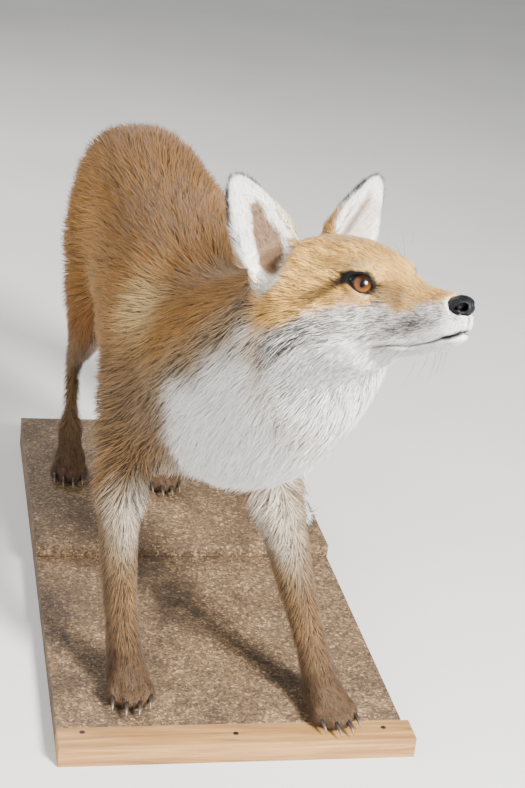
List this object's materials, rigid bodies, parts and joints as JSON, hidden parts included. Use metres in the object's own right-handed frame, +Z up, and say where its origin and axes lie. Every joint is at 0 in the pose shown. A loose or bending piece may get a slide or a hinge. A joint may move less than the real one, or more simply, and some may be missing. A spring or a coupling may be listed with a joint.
{
  "type": "taxidermy fox",
  "caption": "Mounted red fox standing with spread forelegs and raised, turned head on a low stepped wooden base, as in a museum display",
  "frame": {"origin": "centre of the flat underside of the wooden base, midway along the whole length of the base without the batten's overhang", "axes": "+Z up, the fox faces -Y, the fox's left side is +X"},
  "size_m": [0.286, 0.7175, 0.4854],
  "materials": {
    "chipboard": "unsealed particle board, brown",
    "pine_batten": "planed pale softwood",
    "coat_red": "red-brown fox fur",
    "coat_white": "white fox fur",
    "coat_grey": "grey-brown short fur",
    "ear_dark": "short black-brown fur",
    "glass_eye": "polished amber glass eye",
    "nose_leather": "dark grained nose skin",
    "claw_horn": "smooth translucent horn"
  },
  "bodies": {
    "root": {"base_panel": "chipboard", "base_rear_board": "chipboard", "base_front_batten": "pine_batten", "trunk": "coat_red", "head": "coat_red", "neck": "coat_white", "lower_jaw": "coat_white", "left_foreleg": "coat_grey", "right_foreleg": "coat_grey", "left_forepaw": "coat_grey", "right_forepaw": "coat_grey", "left_hindleg": "coat_red", "right_hindleg": "coat_red", "left_hindpaw": "coat_grey", "right_hindpaw": "coat_grey", "tail_root": "coat_red", "tail_middle": "coat_red", "tail_tip": "coat_white", "left_ear": "ear_dark", "right_ear": "ear_dark", "left_eye": "glass_eye", "right_eye": "glass_eye", "nose": "nose_leather", "left_forepaw_claw_1": "claw_horn", "left_forepaw_claw_2": "claw_horn", "left_forepaw_claw_3": "claw_horn", "left_forepaw_claw_4": "claw_horn", "right_forepaw_claw_1": "claw_horn", "right_forepaw_claw_2": "claw_horn", "right_forepaw_claw_3": "claw_horn", "right_forepaw_claw_4": "claw_horn", "left_hindpaw_claw_1": "claw_horn", "left_hindpaw_claw_2": "claw_horn", "left_hindpaw_claw_3": "claw_horn", "left_hindpaw_claw_4": "claw_horn", "right_hindpaw_claw_1": "claw_horn", "right_hindpaw_claw_2": "claw_horn", "right_hindpaw_claw_3": "claw_horn", "right_hindpaw_claw_4": "claw_horn"}
  },
  "joints": []
}
